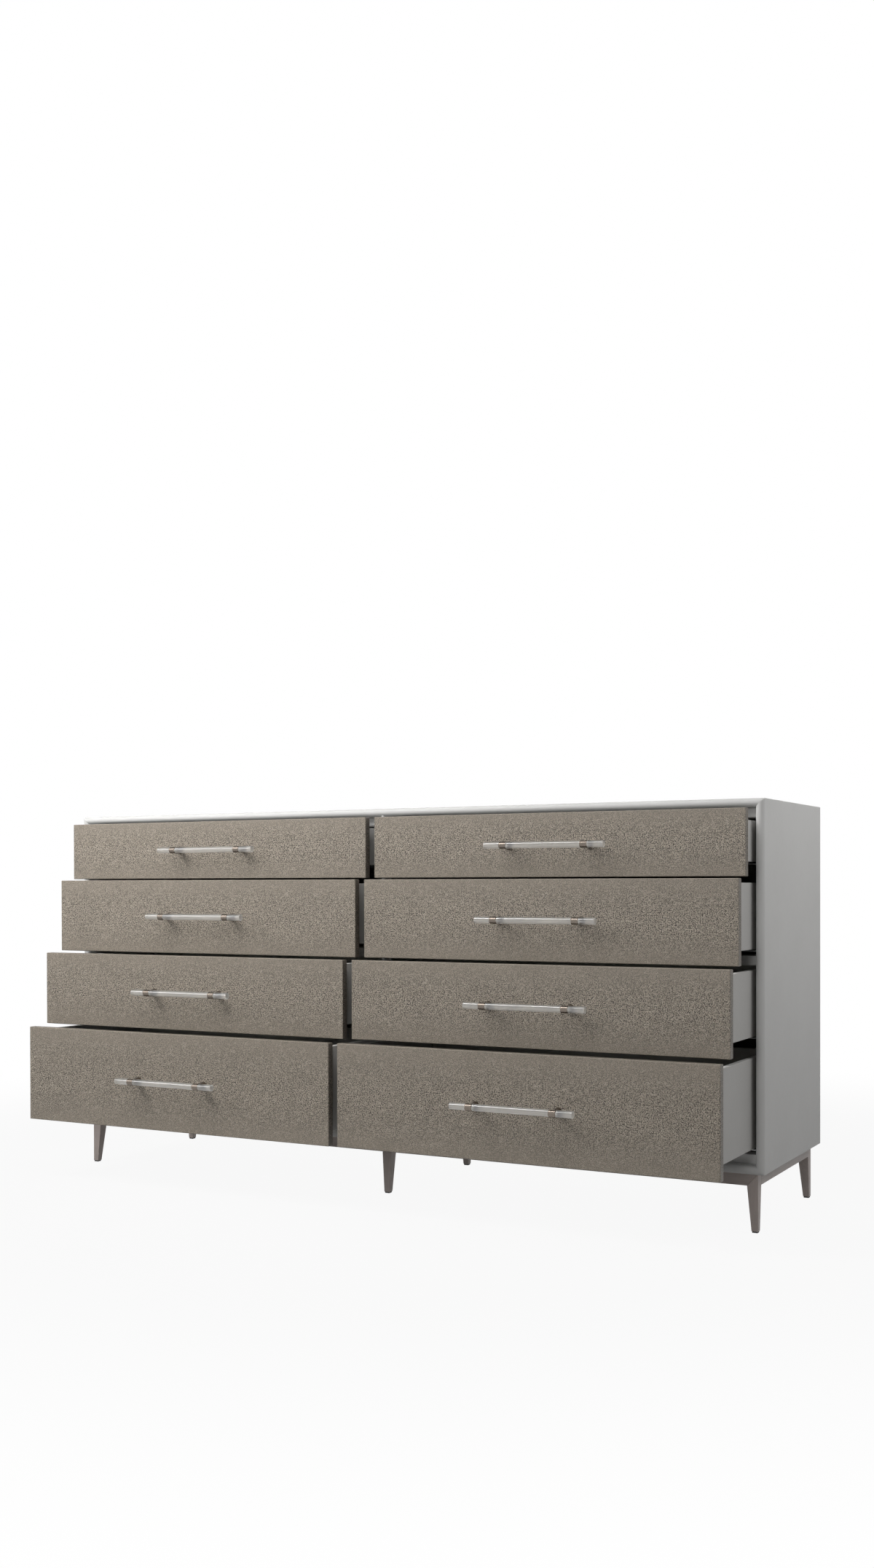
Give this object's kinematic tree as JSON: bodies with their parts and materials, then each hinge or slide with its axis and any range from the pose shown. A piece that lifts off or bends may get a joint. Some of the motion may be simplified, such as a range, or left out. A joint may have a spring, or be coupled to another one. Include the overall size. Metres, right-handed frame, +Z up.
{
  "type": "double dresser",
  "caption": "Low wide dresser with side-by-side columns of pull-out drawers: lacquered case, pebble-grained fronts, clear bar pulls and a slim metal base.",
  "frame": {"origin": "on the floor, at the centre of the middle back foot's glide, on the plane of symmetry between the two columns", "axes": "+X to the dresser's right seen from the front, +Y towards the back, +Z up; the drawers open towards -Y"},
  "size_m": [1.829, 0.7169, 0.908],
  "materials": {
    "lacquer": "satin silver-grey lacquer",
    "back_board": "plain grey painted board",
    "pebbled_cover": "embossed pebble grain, warm taupe-grey",
    "clear_rod": "clear polished acrylic",
    "pull_metal": "brushed warm nickel",
    "base_metal": "brushed brown pewter",
    "slide_steel": "zinc-plated rolled steel",
    "glide_plastic": "black moulded plastic"
  },
  "bodies": {
    "case": {"top_panel": "lacquer", "bottom_panel": "lacquer", "left_side_panel": "lacquer", "right_side_panel": "lacquer", "centre_divider": "lacquer", "centre_stile": "lacquer", "back_panel": "back_board", "front_rails": "lacquer", "base_rails": "base_metal", "legs": "base_metal", "leg_glides": "glide_plastic", "slide_cabinet_members": "slide_steel"},
    "drawer_left_1": {"drawer_left_1_front": "pebbled_cover", "drawer_left_1_box": "lacquer", "drawer_left_1_pull_rod": "clear_rod", "drawer_left_1_pull_posts": "pull_metal", "drawer_left_1_runners": "slide_steel"},
    "slide_left_1": {"drawer_left_1_slide_middles": "slide_steel"},
    "drawer_left_2": {"drawer_left_2_front": "pebbled_cover", "drawer_left_2_box": "lacquer", "drawer_left_2_pull_rod": "clear_rod", "drawer_left_2_pull_posts": "pull_metal", "drawer_left_2_runners": "slide_steel"},
    "slide_left_2": {"drawer_left_2_slide_middles": "slide_steel"},
    "drawer_left_3": {"drawer_left_3_front": "pebbled_cover", "drawer_left_3_box": "lacquer", "drawer_left_3_pull_rod": "clear_rod", "drawer_left_3_pull_posts": "pull_metal", "drawer_left_3_runners": "slide_steel"},
    "slide_left_3": {"drawer_left_3_slide_middles": "slide_steel"},
    "drawer_left_4": {"drawer_left_4_front": "pebbled_cover", "drawer_left_4_box": "lacquer", "drawer_left_4_pull_rod": "clear_rod", "drawer_left_4_pull_posts": "pull_metal", "drawer_left_4_runners": "slide_steel"},
    "slide_left_4": {"drawer_left_4_slide_middles": "slide_steel"},
    "drawer_right_1": {"drawer_right_1_front": "pebbled_cover", "drawer_right_1_box": "lacquer", "drawer_right_1_pull_rod": "clear_rod", "drawer_right_1_pull_posts": "pull_metal", "drawer_right_1_runners": "slide_steel"},
    "slide_right_1": {"drawer_right_1_slide_middles": "slide_steel"},
    "drawer_right_2": {"drawer_right_2_front": "pebbled_cover", "drawer_right_2_box": "lacquer", "drawer_right_2_pull_rod": "clear_rod", "drawer_right_2_pull_posts": "pull_metal", "drawer_right_2_runners": "slide_steel"},
    "slide_right_2": {"drawer_right_2_slide_middles": "slide_steel"},
    "drawer_right_3": {"drawer_right_3_front": "pebbled_cover", "drawer_right_3_box": "lacquer", "drawer_right_3_pull_rod": "clear_rod", "drawer_right_3_pull_posts": "pull_metal", "drawer_right_3_runners": "slide_steel"},
    "slide_right_3": {"drawer_right_3_slide_middles": "slide_steel"},
    "drawer_right_4": {"drawer_right_4_front": "pebbled_cover", "drawer_right_4_box": "lacquer", "drawer_right_4_pull_rod": "clear_rod", "drawer_right_4_pull_posts": "pull_metal", "drawer_right_4_runners": "slide_steel"},
    "slide_right_4": {"drawer_right_4_slide_middles": "slide_steel"}
  },
  "joints": [
    {"name": "drawer_left_1_slide", "type": "slide", "parent": "case", "child": "drawer_left_1", "axis": [0, -1, 0], "range_m": [-0.066, 0.314]},
    {"name": "slide_left_1_travel", "type": "slide", "parent": "case", "child": "slide_left_1", "axis": [0, -1, 0], "range_m": [-0.033, 0.157]},
    {"name": "drawer_left_2_slide", "type": "slide", "parent": "case", "child": "drawer_left_2", "axis": [0, -1, 0], "range_m": [-0.113, 0.267]},
    {"name": "slide_left_2_travel", "type": "slide", "parent": "case", "child": "slide_left_2", "axis": [0, -1, 0], "range_m": [-0.0565, 0.1335]},
    {"name": "drawer_left_3_slide", "type": "slide", "parent": "case", "child": "drawer_left_3", "axis": [0, -1, 0], "range_m": [-0.168, 0.212]},
    {"name": "slide_left_3_travel", "type": "slide", "parent": "case", "child": "slide_left_3", "axis": [0, -1, 0], "range_m": [-0.084, 0.106]},
    {"name": "drawer_left_4_slide", "type": "slide", "parent": "case", "child": "drawer_left_4", "axis": [0, -1, 0], "range_m": [-0.229, 0.151]},
    {"name": "slide_left_4_travel", "type": "slide", "parent": "case", "child": "slide_left_4", "axis": [0, -1, 0], "range_m": [-0.1145, 0.0755]},
    {"name": "drawer_right_1_slide", "type": "slide", "parent": "case", "child": "drawer_right_1", "axis": [0, -1, 0], "range_m": [-0.057, 0.323]},
    {"name": "slide_right_1_travel", "type": "slide", "parent": "case", "child": "slide_right_1", "axis": [0, -1, 0], "range_m": [-0.0285, 0.1615]},
    {"name": "drawer_right_2_slide", "type": "slide", "parent": "case", "child": "drawer_right_2", "axis": [0, -1, 0], "range_m": [-0.104, 0.276]},
    {"name": "slide_right_2_travel", "type": "slide", "parent": "case", "child": "slide_right_2", "axis": [0, -1, 0], "range_m": [-0.052, 0.138]},
    {"name": "drawer_right_3_slide", "type": "slide", "parent": "case", "child": "drawer_right_3", "axis": [0, -1, 0], "range_m": [-0.159, 0.221]},
    {"name": "slide_right_3_travel", "type": "slide", "parent": "case", "child": "slide_right_3", "axis": [0, -1, 0], "range_m": [-0.0795, 0.1105]},
    {"name": "drawer_right_4_slide", "type": "slide", "parent": "case", "child": "drawer_right_4", "axis": [0, -1, 0], "range_m": [-0.222, 0.158]},
    {"name": "slide_right_4_travel", "type": "slide", "parent": "case", "child": "slide_right_4", "axis": [0, -1, 0], "range_m": [-0.111, 0.079]}
  ],
  "couplings": [
    {"joint": "slide_left_1_travel", "follows": "drawer_left_1_slide", "ratio": 0.5},
    {"joint": "slide_left_2_travel", "follows": "drawer_left_2_slide", "ratio": 0.5},
    {"joint": "slide_left_3_travel", "follows": "drawer_left_3_slide", "ratio": 0.5},
    {"joint": "slide_left_4_travel", "follows": "drawer_left_4_slide", "ratio": 0.5},
    {"joint": "slide_right_1_travel", "follows": "drawer_right_1_slide", "ratio": 0.5},
    {"joint": "slide_right_2_travel", "follows": "drawer_right_2_slide", "ratio": 0.5},
    {"joint": "slide_right_3_travel", "follows": "drawer_right_3_slide", "ratio": 0.5},
    {"joint": "slide_right_4_travel", "follows": "drawer_right_4_slide", "ratio": 0.5}
  ]
}
